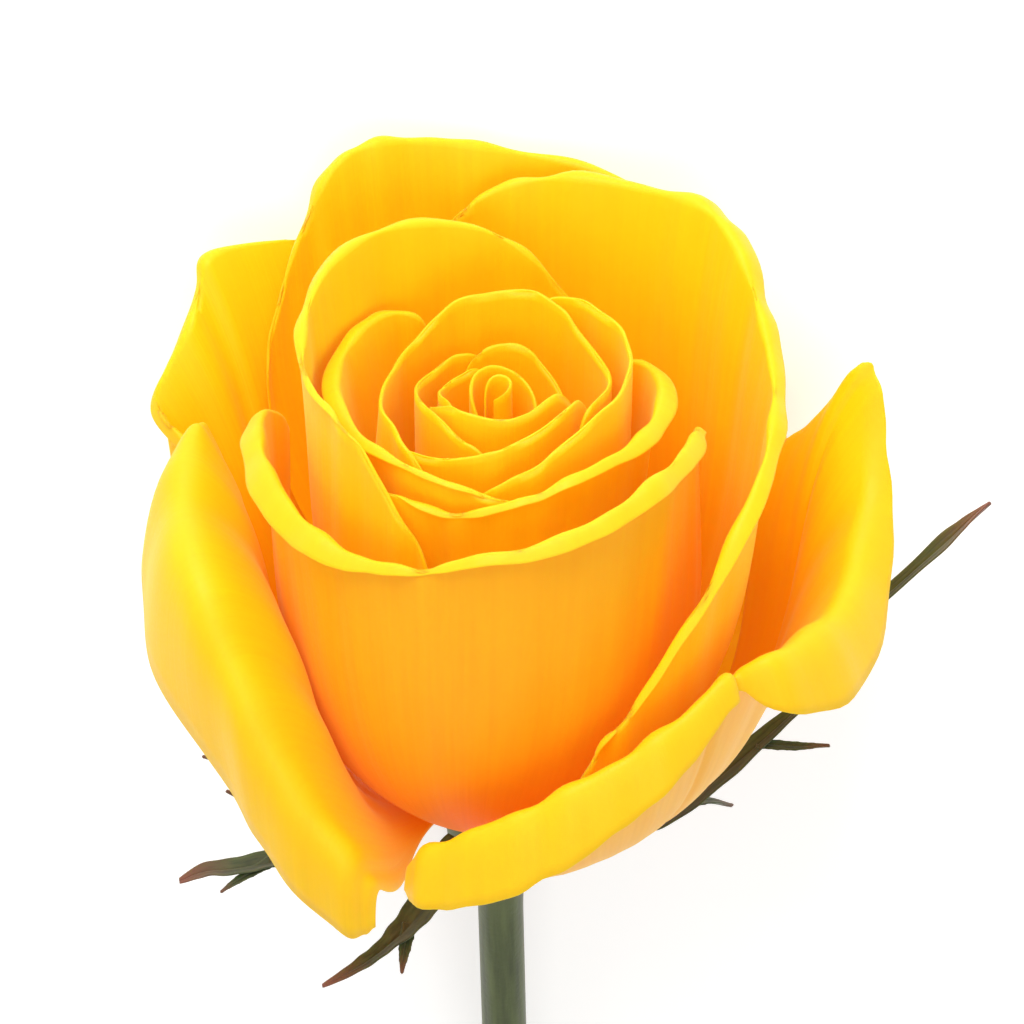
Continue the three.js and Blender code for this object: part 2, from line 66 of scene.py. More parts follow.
# The view: a long lens that looks down on the lying bloom, onto its upper side and
# 40 degrees into its heart.
VIEW_RISE = math.radians(40)
VIEW_DISTANCE = 0.5
VIEW_WIDTH = 0.10756
aim = Vector(in_place([[1.37, 0, 39.9]])[0])
look_back = bloom_lie @ Vector((0, -math.cos(VIEW_RISE), math.sin(VIEW_RISE)))
view_up = bloom_lie @ Vector((0, math.sin(VIEW_RISE), math.cos(VIEW_RISE)))
view_right = view_up.cross(look_back)
camera = bpy.data.objects.new("view_camera", bpy.data.cameras.new("view_camera"))
bpy.context.scene.collection.objects.link(camera)
camera.data.sensor_width = 36
camera.data.lens = 36 * VIEW_DISTANCE / VIEW_WIDTH
camera.data.clip_start = 0.01
camera.matrix_world = Matrix((view_right, view_up, look_back)).transposed().to_4x4()
camera.matrix_world.translation = aim + look_back * VIEW_DISTANCE
bpy.context.scene.camera = camera

# The table is a plain, nearly white matt board, lit a little from within as a light table
# is. It carries the soft shadow of the bloom.
table_paint = bpy.data.materials.new("table_paint")
table_paint.use_nodes = True
table_shader = table_paint.node_tree.nodes["Principled BSDF"]
table_shader.inputs["Base Color"].default_value = (0.93, 0.93, 0.92, 1)
table_shader.inputs["Roughness"].default_value = 0.8
table_shader.inputs["Emission Color"].default_value = (1, 1, 1, 1)
table_shader.inputs["Emission Strength"].default_value = 0.3
table_mesh = bpy.data.meshes.new("table")
table_mesh.from_pydata(
    [(-2.5, -2.5, 0), (2.5, -2.5, 0), (2.5, 2.5, 0), (-2.5, 2.5, 0)], [], [(0, 1, 2, 3)]
)
table_mesh.materials.append(table_paint)
table = bpy.data.objects.new("table", table_mesh)
bpy.context.scene.collection.objects.link(table)

# Studio light: an even pale room, one large soft light in front of the open bloom and a
# weaker one above it.
room = bpy.data.worlds.new("pale_room")
room.use_nodes = True
room.node_tree.nodes["Background"].inputs["Color"].default_value = (1, 1, 1, 1)
room.node_tree.nodes["Background"].inputs["Strength"].default_value = 0.6
bpy.context.scene.world = room
bpy.context.scene.view_settings.view_transform = "Standard"


def soft_light(name, from_bloom, size, power):
    lamp = bpy.data.lights.new(name, "AREA")
    lamp.size = size
    lamp.energy = power
    holder = bpy.data.objects.new(name, lamp)
    bpy.context.scene.collection.objects.link(holder)
    holder.location = aim + Vector(from_bloom)
    holder.rotation_mode = "QUATERNION"
    holder.rotation_quaternion = (aim - holder.location).to_track_quat("-Z", "Y")


soft_light("front_light", (0.16, -0.85, 0.5), 0.5, 7.2)
soft_light("top_light", (-0.1, 0.0, 1.0), 0.6, 2.4)


# The stem is a smooth green rod of living wood, 5 mm thick, swollen under the hip. It is
# swept along its slightly bowed line and cut square at the end with a sharp knife.
def green_finish(name, dark, light, tip, streaks, tip_start):
    skin = bpy.data.materials.new(name)
    skin.use_nodes = True
    nodes = skin.node_tree.nodes
    link = skin.node_tree.links.new
    shader = nodes["Principled BSDF"]
    place = nodes.new("ShaderNodeUVMap")
    stretch = nodes.new("ShaderNodeMapping")
    stretch.inputs["Scale"].default_value = streaks
    link(place.outputs[0], stretch.inputs["Vector"])
    streak = nodes.new("ShaderNodeTexNoise")
    streak.inputs["Scale"].default_value = 1
    streak.inputs["Detail"].default_value = 5
    link(stretch.outputs[0], streak.inputs["Vector"])
    shade = nodes.new("ShaderNodeValToRGB")
    shade.color_ramp.elements[0].position = 0.32
    shade.color_ramp.elements[0].color = (*dark, 1)
    shade.color_ramp.elements[1].position = 0.7
    shade.color_ramp.elements[1].color = (*light, 1)
    link(streak.outputs["Fac"], shade.inputs["Fac"])
    along = nodes.new("ShaderNodeSeparateXYZ")
    link(place.outputs[0], along.inputs[0])
    reach = nodes.new("ShaderNodeMapRange")
    reach.inputs["From Min"].default_value = tip_start
    reach.inputs["From Max"].default_value = 1
    link(along.outputs["Y"], reach.inputs["Value"])
    blush = nodes.new("ShaderNodeMix")
    blush.data_type = "RGBA"
    blush.inputs[7].default_value = (*tip, 1)
    link(reach.outputs[0], blush.inputs[0])
    link(shade.outputs["Color"], blush.inputs[6])
    link(blush.outputs[2], shader.inputs["Base Color"])
    rough = nodes.new("ShaderNodeMapRange")
    rough.inputs["To Min"].default_value = 0.42
    rough.inputs["To Max"].default_value = 0.68
    link(streak.outputs["Fac"], rough.inputs["Value"])
    link(rough.outputs[0], shader.inputs["Roughness"])
    grain = nodes.new("ShaderNodeTexNoise")
    grain.inputs["Scale"].default_value = 1500
    grain.inputs["Detail"].default_value = 4
    where = nodes.new("ShaderNodeTexCoord")
    link(where.outputs["Object"], grain.inputs["Vector"])
    ridge = nodes.new("ShaderNodeMath")
    ridge.operation = "ADD"
    link(streak.outputs["Fac"], ridge.inputs[0])
    link(grain.outputs["Fac"], ridge.inputs[1])
    relief = nodes.new("ShaderNodeBump")
    relief.inputs["Strength"].default_value = 0.135
    relief.inputs["Distance"].default_value = 0.0004
    link(ridge.outputs[0], relief.inputs["Height"])
    link(relief.outputs[0], shader.inputs["Normal"])
    shader.inputs["Sheen Weight"].default_value = 0.15
    shader.inputs["Subsurface Weight"].default_value = 0.1
    shader.inputs["Subsurface Radius"].default_value = (0.6, 1, 0.2)
    shader.inputs["Subsurface Scale"].default_value = 0.001
    return skin


def build_mesh(name, points, faces, flat_uv, outside, finish, slot, *nodes_stood_for):
    mesh = bpy.data.meshes.new(name)
    mesh.from_pydata(points.tolist(), [], faces)
    spread = mesh.uv_layers.new(name="UVMap")
    corners = np.empty(len(mesh.loops), int)
    mesh.loops.foreach_get("vertex_index", corners)
    spread.data.foreach_set("uv", np.asarray(flat_uv, float)[corners].ravel())
    if outside is not None:
        side = mesh.attributes.new("outside", "FLOAT", "POINT")
        side.data.foreach_set("value", np.asarray(outside, float))
    mesh.polygons.foreach_set("use_smooth", np.ones(len(mesh.polygons), bool))
    mesh.materials.append(finish)
    piece = bpy.data.objects.new(name, mesh)
    bpy.context.scene.collection.objects.link(piece)
    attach(piece, "root")
    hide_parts(*nodes_stood_for)
    return piece


def turned_faces(rings, sides):
    faces = [
        (a * sides + i, a * sides + (i + 1) % sides, (a + 1) * sides + (i + 1) % sides,
         (a + 1) * sides + i)
        for a in range(rings - 1) for i in range(sides)
    ]
    faces.append(tuple(range(sides - 1, -1, -1)))
    faces.append(tuple(range((rings - 1) * sides, rings * sides)))
    return faces


# Stations of the stem: height, radius and how far it bows aside.
STEM_END = -118
STEM_TOP = -9
STEM_LINE = [(STEM_END, 2.55, 0), (-92, 2.5, 1), (-64, 2.5, 1.1), (-38, 2.55, 0.5), (-18, 2.55, 0.1),
             (-12, 2.75, 0.02), (STEM_TOP, 3.1, 0)]
stem_heights = np.concatenate([[STEM_END, -117.9, -117.7], np.linspace(-117.2, STEM_TOP, 110)])
stem_line = np.array(STEM_LINE)
stem_radii = np.interp(stem_heights, stem_line[:, 0], stem_line[:, 1])
stem_radii[:3] -= (0.3, 0.1, 0.02)
stem_bow = np.interp(stem_heights, stem_line[:, 0], stem_line[:, 2])
STEM_SIDES = 48
around = np.linspace(0, 2 * math.pi, STEM_SIDES, endpoint=False)
stem_points, stem_uv = [], []
for height, radius, bow in zip(stem_heights, stem_radii, stem_bow):
    ribbed = radius * (1 + 0.012 * np.sin(5 * around + height / 30) + 0.006 * np.sin(11 * around))
    stem_points += list(zip(bow + ribbed * np.cos(around), ribbed * np.sin(around),
                            np.full(STEM_SIDES, height)))
    climb = (height - STEM_END) / (STEM_TOP - STEM_END)
    stem_uv += list(zip(around / (2 * math.pi), np.full(STEM_SIDES, climb)))
stem_skin = green_finish("stem_skin", (0.045, 0.06, 0.016), (0.11, 0.14, 0.045), (0.12, 0.15, 0.05),
                         (14, 9, 1), 0.9)
build_mesh("stem_rod", in_place(stem_points), turned_faces(len(stem_heights), STEM_SIDES),
           stem_uv, None, stem_skin, "stem", "stem")


# The hip is the smooth green cup on top of the stem that carries the sepals and petals. It
# is faintly ribbed, and one growth with the stem.
HIP_LINE = [(3.0, -8.6), (3.6, -8.3), (4.6, -7.4), (5.4, -6.5), (5.9, -5.6), (6.15, -4.7),
            (6.2, -3.8), (6.1, -2.8), (5.9, -2.0), (5.2, -1.4), (3.6, -0.1), (1.6, 1.3), (0.3, 2.3)]
hip_points, hip_uv = [], []
for radius, height in HIP_LINE:
    ribbed = radius * (1 + 0.015 * np.sin(5 * around))
    hip_points += list(zip(ribbed * np.cos(around), ribbed * np.sin(around),
                           np.full(STEM_SIDES, height)))
    hip_uv += list(zip(around / (2 * math.pi), np.full(STEM_SIDES, (height + 9) / 14)))
hip_skin = green_finish("hip_skin", (0.07, 0.1, 0.025), (0.17, 0.21, 0.07), (0.3, 0.27, 0.08),
                        (9, 3, 1), 0.6)
build_mesh("hip_cup", in_place(hip_points), turned_faces(len(HIP_LINE), STEM_SIDES),
           hip_uv, None, hip_skin, "hip", "hip")

# The pistil is a short pale column at the bottom of the heart, with a rounded head. It
# stands over the middle of the hip.
PISTIL_LINE = [(0.3, 2.9), (0.42, 3.1), (0.4, 6), (0.42, 8.4), (0.6, 9.2), (0.35, 9.8), (0.1, 9.9)]
pistil_points, pistil_uv = [], []
for radius, height in PISTIL_LINE:
    pistil_points += list(zip(radius * np.cos(around), radius * np.sin(around),
                              np.full(STEM_SIDES, height)))
    pistil_uv += list(zip(around / (2 * math.pi), np.full(STEM_SIDES, (height - 2.9) / 7)))
pistil_skin = green_finish("pistil_skin", (0.4, 0.3, 0.06), (0.6, 0.46, 0.1), (0.6, 0.25, 0.1),
                           (8, 6, 1), 0.7)
build_mesh("pistil_column", in_place(pistil_points), turned_faces(len(PISTIL_LINE), STEM_SIDES),
           pistil_uv, None, pistil_skin, "pistil", "pistil")


# The five sepals are narrow leafy blades, fixed round the rim of the hip. Each has a midrib,
# a cupped face, pointed side lobes and a reddish, drying tip that curls.
def along_line(rows, samples):
    rows = np.asarray(rows, float)
    last = len(rows) - 1
    at = np.asarray(samples, float) * last
    low = np.clip(at.astype(int), 0, last - 1)
    part = (at - low)[:, None]
    padded = np.vstack([2 * rows[0] - rows[1], rows, 2 * rows[-1] - rows[-2]])
    a, b, c, d = padded[low], padded[low + 1], padded[low + 2], padded[np.minimum(low + 3, last + 2)]
    return 0.5 * (2 * b + (c - a) * part + (2 * a - 5 * b + 4 * c - d) * part**2
                  + (3 * b - a - 3 * c + d) * part**3)


def polar(azimuth, radius, height):
    turn = np.radians(azimuth)
    return np.stack([radius * np.sin(turn), -radius * np.cos(turn), height], -1)


def unit(vectors):
    return vectors / np.maximum(np.linalg.norm(vectors, axis=-1, keepdims=True), 1e-9)


def closed_sheet(rows, thick, start):
    """Faces and points of a sheet with two sides and a rounded edge."""
    high, wide = rows.shape[:2]
    across = np.gradient(rows, axis=1)
    up = np.gradient(rows, axis=0)
    normal = unit(np.cross(across, up))
    half = (np.asarray(thick) / 2)[..., None] * np.ones((high, wide, 1))
    outer = (rows + normal * half).reshape(-1, 3)
    inner = (rows - normal * half).reshape(-1, 3)
    far = high * wide
    j, i = np.meshgrid(np.arange(high - 1), np.arange(wide - 1), indexing="ij")
    a = (j * wide + i).ravel()
    faces = [(p, p + 1, p + wide + 1, p + wide) for p in (a + start).tolist()]
    faces += [(p, p + wide, p + wide + 1, p + 1) for p in (a + far + start).tolist()]
    edge = list(range(wide)) + [j * wide + wide - 1 for j in range(1, high)]
    edge += [(high - 1) * wide + i for i in range(wide - 2, -1, -1)]
    edge += [j * wide for j in range(high - 2, 0, -1)]
    centre = rows.reshape(-1, 3)
    step = np.roll(centre[edge], -1, axis=0) - np.roll(centre[edge], 1, axis=0)
    away = unit(np.cross(step, normal.reshape(-1, 3)[edge]))
    bead = centre[edge] + away * half.reshape(-1, 1)[edge] * 0.8
    count = len(edge)
    for n in range(count):
        p, q = edge[n], edge[(n + 1) % count]
        r, s = 2 * far + n, 2 * far + (n + 1) % count
        faces.append((p + start, r + start, s + start, q + start))
        faces.append((r + start, far + p + start, far + q + start, s + start))
    return np.vstack([outer, inner, bead]), faces, edge


SEPAL_COLUMNS = 13
SEPAL_THICK = 0.34
MIDRIB_SAMPLES = 70
LOBE_SAMPLES = 26


def sepal_blade(spine, samples, cup, start, curl=0.0):
    line = along_line(spine, np.linspace(0, 1, samples))
    midrib = polar(line[:, 0], line[:, 1], line[:, 2])
    forward = unit(np.gradient(midrib, axis=0))
    sideways = unit(np.cross(forward, polar(line[:, 0], -1 + 0 * line[:, 0], 4 + 0 * line[:, 0])))
    face = np.cross(sideways, forward)
    v = np.linspace(-1, 1, SEPAL_COLUMNS)
    along = np.linspace(0, 1, samples)
    half = np.maximum(line[:, 3], 0.12)
    tooth = 1 + 0.1 * np.sin(along * 40) * np.sin(along * 13 + 1)
    rows = (midrib[:, None] + sideways[:, None] * (v[None, :, None] * (half * tooth)[:, None, None])
            + face[:, None] * ((cup * half)[:, None, None] * v[None, :, None] ** 2
                               - 0.18 * np.exp(-(v[None, :, None] / 0.12) ** 2)
                               + curl * (0.4 * np.sin(along * 9))[:, None, None] * v[None, :, None]))
    thick = np.full(rows.shape[:2], SEPAL_THICK) * (1 - 0.5 * np.abs(v)[None])
    points, faces, edge = closed_sheet(rows, thick, start)
    uv = np.stack(np.meshgrid(np.linspace(0, 1, SEPAL_COLUMNS), along), -1).reshape(-1, 2)
    return points, faces, np.vstack([uv, uv, uv[edge]])


sepal_skin = green_finish("sepal_skin", (0.028, 0.042, 0.008), (0.09, 0.11, 0.03), (0.2, 0.06, 0.03),
                          (6, 10, 1), 0.72)


def fix_sepal(name, spine, lobes):
    points, faces, uv = sepal_blade(spine, MIDRIB_SAMPLES, 0.3, 0, 0.5)
    # A lobe takes its colour from the upper half of the blade, so its point dries red too.
    for lobe in lobes:
        more, more_faces, more_uv = sepal_blade(lobe, LOBE_SAMPLES, 0.2, len(points))
        points = np.vstack([points, more])
        faces += more_faces
        uv = np.vstack([uv, more_uv * (1, 0.5) + (0, 0.42)])
    build_mesh(name + "_blade", in_place(points), faces, uv, None, sepal_skin, "sepal", name)


fix_sepal("sepal_left",
    [(-104, 6.4, -3.4, 2.0), (-101, 11, -7, 2.7), (-99, 16, -10, 2.4), (-98, 21, -12.4, 2.1),
     (-97, 26, -14.2, 1.7), (-96, 30, -15.3, 1.3), (-96.5, 33.5, -16.4, 1.0), (-96, 36.5, -18, 0.3)],
    [[(-100, 15, -9.6, 1.2), (-102, 20, -8.8, 1.2), (-104, 25.5, -6.4, 1.0), (-105, 30.5, -4, 0.7),
      (-105, 34.5, -3.4, 0.12)],
     [(-99, 19, -11.4, 0.9), (-101.5, 24, -10.6, 0.8), (-103, 28.5, -8.6, 0.7), (-103, 31.5, -7, 0.12)],
     [(-96, 26, -14, 0.8), (-93.5, 29.5, -15.8, 0.5), (-92, 31.5, -17, 0.1)]])
fix_sepal("sepal_front",
    [(-38, 6.4, -3.4, 1.9), (-36, 11, -5.4, 2.1), (-35, 16, -7, 1.8), (-36, 21, -7.6, 1.2),
     (-38, 25, -8, 0.7), (-41, 29, -8.6, 0.15)],
    [[(-35, 17, -7.2, 0.8), (-31, 20, -7.8, 0.6), (-28, 22.5, -8.6, 0.12)]])
fix_sepal("sepal_right",
    [(80, 7, -3.4, 1.8), (92, 13.4, -6.4, 2.2), (96, 19.5, -5.6, 1.9), (99, 26, -0.6, 1.5),
     (101, 32, 4.4, 1.0), (102, 36, 7.6, 0.7), (103, 40, 10, 0.15)],
    [[(97, 21, -4.8, 0.8), (101, 24, -6.2, 0.7), (104, 27, -8.6, 0.12)],
     [(100, 29, 2, 0.7), (97, 33, 2.6, 0.6), (95, 36.5, 3.6, 0.12)]])
fix_sepal("sepal_far_right",
    [(132, 6.4, -3.4, 1.9), (128, 12.5, -6.6, 2.2), (121, 21, -5, 2.0), (117, 30, -0.6, 1.8),
     (113, 38.5, 6.4, 1.5), (110, 46, 15, 0.9), (108, 51.5, 22, 1.3), (107.5, 54, 25, 0.9),
     (107, 56, 27.5, 0.15)],
    [[(112, 37, 5.4, 0.8), (116, 41, 9.6, 0.6), (118, 44, 13.6, 0.12)]])
fix_sepal("sepal_under",
    [(-164, 6.4, -3.4, 2.0), (-164, 10, -6.6, 2.5), (-163, 12.5, -11, 2.3), (-162, 14, -17, 1.8),
     (-161, 14.6, -23, 1.1), (-160, 14.4, -29, 0.2)],
    [[(-164, 12, -10, 0.8), (-152, 13.4, -13, 0.7), (-142, 14.6, -16, 0.12)]])


# The bud heart is the innermost petal, rolled tight on itself like a scroll, with a second
# one wrapped round it. Living petals are thin sheets, deep orange at the claw and yellow at
# the rim, with fine lengthwise veins and a velvety skin.
def petal_finish(name, claw, face, rim, outer_claw, outer_face, outer_rim, claw_end, seed):
    skin = bpy.data.materials.new(name)
    skin.use_nodes = True
    nodes = skin.node_tree.nodes
    link = skin.node_tree.links.new
    shader = nodes["Principled BSDF"]
    where = nodes.new("ShaderNodeTexCoord")
    place = nodes.new("ShaderNodeUVMap")
    shift = nodes.new("ShaderNodeMapping")
    shift.inputs["Location"].default_value = (seed, seed * 0.7, seed * 1.3)
    shift.inputs["Scale"].default_value = (60, 60, 60)
    link(where.outputs["Object"], shift.inputs["Vector"])
    cloud = nodes.new("ShaderNodeTexNoise")
    cloud.inputs["Scale"].default_value = 1
    cloud.inputs["Detail"].default_value = 3
    link(shift.outputs[0], cloud.inputs["Vector"])
    comb = nodes.new("ShaderNodeMapping")
    comb.inputs["Scale"].default_value = (85, 2.6, 1)
    comb.inputs["Location"].default_value = (seed * 3, seed, 0)
    link(place.outputs[0], comb.inputs["Vector"])
    vein = nodes.new("ShaderNodeTexNoise")
    vein.inputs["Scale"].default_value = 1
    vein.inputs["Detail"].default_value = 4
    vein.inputs["Roughness"].default_value = 0.62
    link(comb.outputs[0], vein.inputs["Vector"])
    along = nodes.new("ShaderNodeSeparateXYZ")
    link(place.outputs[0], along.inputs[0])
    drift = nodes.new("ShaderNodeMapRange")
    drift.inputs["To Min"].default_value = -0.1
    drift.inputs["To Max"].default_value = 0.1
    link(cloud.outputs["Fac"], drift.inputs["Value"])
    feather = nodes.new("ShaderNodeMapRange")
    feather.inputs["To Min"].default_value = -0.05
    feather.inputs["To Max"].default_value = 0.05
    link(vein.outputs["Fac"], feather.inputs["Value"])
    height = nodes.new("ShaderNodeMath")
    height.operation = "ADD"
    link(along.outputs["Y"], height.inputs[0])
    link(drift.outputs[0], height.inputs[1])
    level = nodes.new("ShaderNodeMath")
    level.operation = "ADD"
    link(height.outputs[0], level.inputs[0])
    link(feather.outputs[0], level.inputs[1])
    sides = []
    for colours in ((claw, face, rim), (outer_claw, outer_face, outer_rim)):
        ramp = nodes.new("ShaderNodeValToRGB")
        ramp.color_ramp.interpolation = "B_SPLINE"
        ramp.color_ramp.elements[0].position = 0.08
        ramp.color_ramp.elements[0].color = (*colours[0], 1)
        ramp.color_ramp.elements[1].position = 1.0
        ramp.color_ramp.elements[1].color = (*colours[2], 1)
        middle = ramp.color_ramp.elements.new(claw_end)
        middle.color = (*colours[1], 1)
        upper = ramp.color_ramp.elements.new(0.86)
        upper.color = (*colours[1], 1)
        link(level.outputs[0], ramp.inputs["Fac"])
        sides.append(ramp)
    outside = nodes.new("ShaderNodeAttribute")
    outside.attribute_name = "outside"
    both = nodes.new("ShaderNodeMix")
    both.data_type = "RGBA"
    link(outside.outputs["Fac"], both.inputs[0])
    link(sides[0].outputs["Color"], both.inputs[6])
    link(sides[1].outputs["Color"], both.inputs[7])
    fine = nodes.new("ShaderNodeTexNoise")
    fine.inputs["Scale"].default_value = 2600
    fine.inputs["Detail"].default_value = 2
    link(where.outputs["Object"], fine.inputs["Vector"])
    mottle = nodes.new("ShaderNodeMapRange")
    mottle.inputs["From Min"].default_value = 0.3
    mottle.inputs["From Max"].default_value = 0.7
    mottle.inputs["To Min"].default_value = 0.96
    mottle.inputs["To Max"].default_value = 1.03
    link(vein.outputs["Fac"], mottle.inputs["Value"])
    tone = nodes.new("ShaderNodeHueSaturation")
    link(mottle.outputs[0], tone.inputs["Value"])
    link(both.outputs[2], tone.inputs["Color"])
    link(tone.outputs[0], shader.inputs["Base Color"])
    rough = nodes.new("ShaderNodeMapRange")
    rough.inputs["To Min"].default_value = 0.44
    rough.inputs["To Max"].default_value = 0.66
    link(fine.outputs["Fac"], rough.inputs["Value"])
    link(rough.outputs[0], shader.inputs["Roughness"])
    velvet = nodes.new("ShaderNodeMath")
    velvet.operation = "MULTIPLY_ADD"
    velvet.inputs[1].default_value = 0.2
    link(fine.outputs["Fac"], velvet.inputs[0])
    link(vein.outputs["Fac"], velvet.inputs[2])
    relief = nodes.new("ShaderNodeBump")
    relief.inputs["Strength"].default_value = 0.13
    relief.inputs["Distance"].default_value = 0.00035
    link(velvet.outputs[0], relief.inputs["Height"])
    link(relief.outputs[0], shader.inputs["Normal"])
    shader.inputs["Specular IOR Level"].default_value = 0.3
    shader.inputs["Sheen Weight"].default_value = 0.18
    shader.inputs["Sheen Roughness"].default_value = 0.4
    shader.inputs["Sheen Tint"].default_value = (1, 0.86, 0.4, 1)
    # A little glow stands for the light that soaks through the petals from all sides.
    shader.inputs["Emission Color"].default_value = (1, 0.3, 0, 1)
    shader.inputs["Emission Strength"].default_value = 0.1
    shader.inputs["Subsurface Weight"].default_value = 0.45
    shader.inputs["Subsurface Radius"].default_value = (1, 0.42, 0.05)
    shader.inputs["Subsurface Scale"].default_value = 0.0016
    return skin


# The claws of the petals sit one outside the other on the hip, by layer. AXIS_HEIGHT is the
# bloom's heart: above it petals are eased straight out from the axis, below it along the
# bowl. `taken` holds how far out the petals laid so far reach, by azimuth and level.
CLAW_FIRST_RADIUS = 1.2
CLAW_RADIUS_STEP = 0.27
CLAW_FIRST_HEIGHT = 3.2
CLAW_HEIGHT_STEP = 0.13
CLAW_WIDTH = 0.25
NECK = 0.35
LIP_REACH = 0.55
AXIS_HEIGHT = 14
PETAL_SPACING = 1
EASE = 0.3
PETAL_COLUMNS = 121
BODY_ROWS = 56
ROLLED_LIP_ROWS = 14
PLAIN_LIP_ROWS = 4
LIP_START = 0.86
taken = {}


def outward(points):
    foot = np.zeros_like(points)
    foot[..., 2] = np.maximum(points[..., 2], AXIS_HEIGHT)
    return points - foot


def cells(points, turn=0.0, shift=0.0):
    arm = outward(points)
    azimuth = np.degrees(np.arctan2(arm[..., 0], -arm[..., 1])) + 360 + turn
    below = np.degrees(np.arcsin(arm[..., 2] / np.linalg.norm(arm, axis=-1))) * 0.3
    level = np.maximum(points[..., 2] - AXIS_HEIGHT, 0) + below + 40 + shift
    return np.floor((azimuth % 360) / 4).astype(int), np.floor(level / 2.5).astype(int)


def petal_rows(shape, u, t, lip):
    """Points of a petal: it climbs from the claw, reaches its crest and rolls into the lip."""
    station = along_line(shape["rim"], u)
    azimuth, radius, height, lean, out, drop = station.T
    lean = np.radians(lean)
    claw = CLAW_FIRST_RADIUS + CLAW_RADIUS_STEP * shape["layer"]
    foot = CLAW_FIRST_HEIGHT - CLAW_HEIGHT_STEP * shape["layer"]
    launch = math.radians(shape["launch"])
    chord = np.hypot(radius - claw, height - foot)
    r1 = claw + shape["belly"] * chord * math.cos(launch)
    z1 = foot + shape["belly"] * chord * math.sin(launch)
    r2 = radius - NECK * chord * np.sin(lean)
    z2 = height - NECK * chord * np.cos(lean)
    t = np.asarray(t)[:, None]
    spread = CLAW_WIDTH + (1 - CLAW_WIDTH) * (1 - (1 - t) ** 2.4)
    b = [(1 - t) ** 3, 3 * (1 - t) ** 2 * t, 3 * (1 - t) * t * t, t**3]
    body = polar(shape["at"] + (azimuth - shape["at"]) * spread,
                 b[0] * claw + b[1] * r1 + b[2] * r2 + b[3] * radius,
                 b[0] * foot + b[1] * z1 + b[2] * z2 + b[3] * height)
    s = np.asarray(lip)[:, None]
    reach = LIP_REACH * np.hypot(out, drop) + 0.05
    r1 = radius + reach * np.sin(lean)
    z1 = height + reach * np.cos(lean)
    c = [(1 - s) ** 2, 2 * (1 - s) * s, s * s]
    roll = polar(azimuth + 0 * s,
                 c[0] * radius + c[1] * r1 + c[2] * (radius + out),
                 c[0] * height + c[1] * z1 + c[2] * (height - drop + 0.1))
    return np.concatenate([body, roll])


def settle(shape):
    """How far each point of a coarse petal must ease outwards to clear the ones inside it."""
    wide = shape["across"]
    rows = petal_rows(shape, np.linspace(0, 1, wide), np.linspace(0, 1, shape["up"]),
                      np.arange(1, shape["lips"] + 1) / shape["lips"])
    reach = np.zeros(rows.shape[:2])
    for turn, shift in ((-1.9, -1.2), (-1.9, 1.2), (1.9, -1.2), (1.9, 1.2)):
        a, b = cells(rows, turn, shift)
        near = np.array([taken.get(key, 0) for key in zip(a.ravel(), b.ravel())])
        reach = np.maximum(reach, near.reshape(reach.shape))
    arm = outward(rows)
    far = np.linalg.norm(arm, axis=-1)
    push = np.where(reach > 0, np.maximum(0, reach + PETAL_SPACING - far), 0)
    for _ in range(8):
        for axis in (0, 1):
            for way in (1, -1):
                gap = np.linalg.norm(rows - np.roll(rows, way, axis), axis=-1)
                eased = np.roll(push, way, axis) - EASE * gap
                edge = [slice(None)] * 2
                edge[axis] = 0 if way == 1 else -1
                eased[tuple(edge)] = 0
                push = np.maximum(push, eased)
    rows = rows + unit(arm) * push[..., None]
    for k in range(25):
        u, v = (k % 5) / 4, (k // 5) / 4
        low = rows[:-1, :-1] * (1 - u) + rows[:-1, 1:] * u
        high = rows[1:, :-1] * (1 - u) + rows[1:, 1:] * u
        point = low * (1 - v) + high * v
        a, b = cells(point)
        distance = np.linalg.norm(outward(point), axis=-1)
        for key, value in zip(zip(a.ravel(), b.ravel()), distance.ravel()):
            taken[key] = max(taken.get(key, 0), value)
    return push


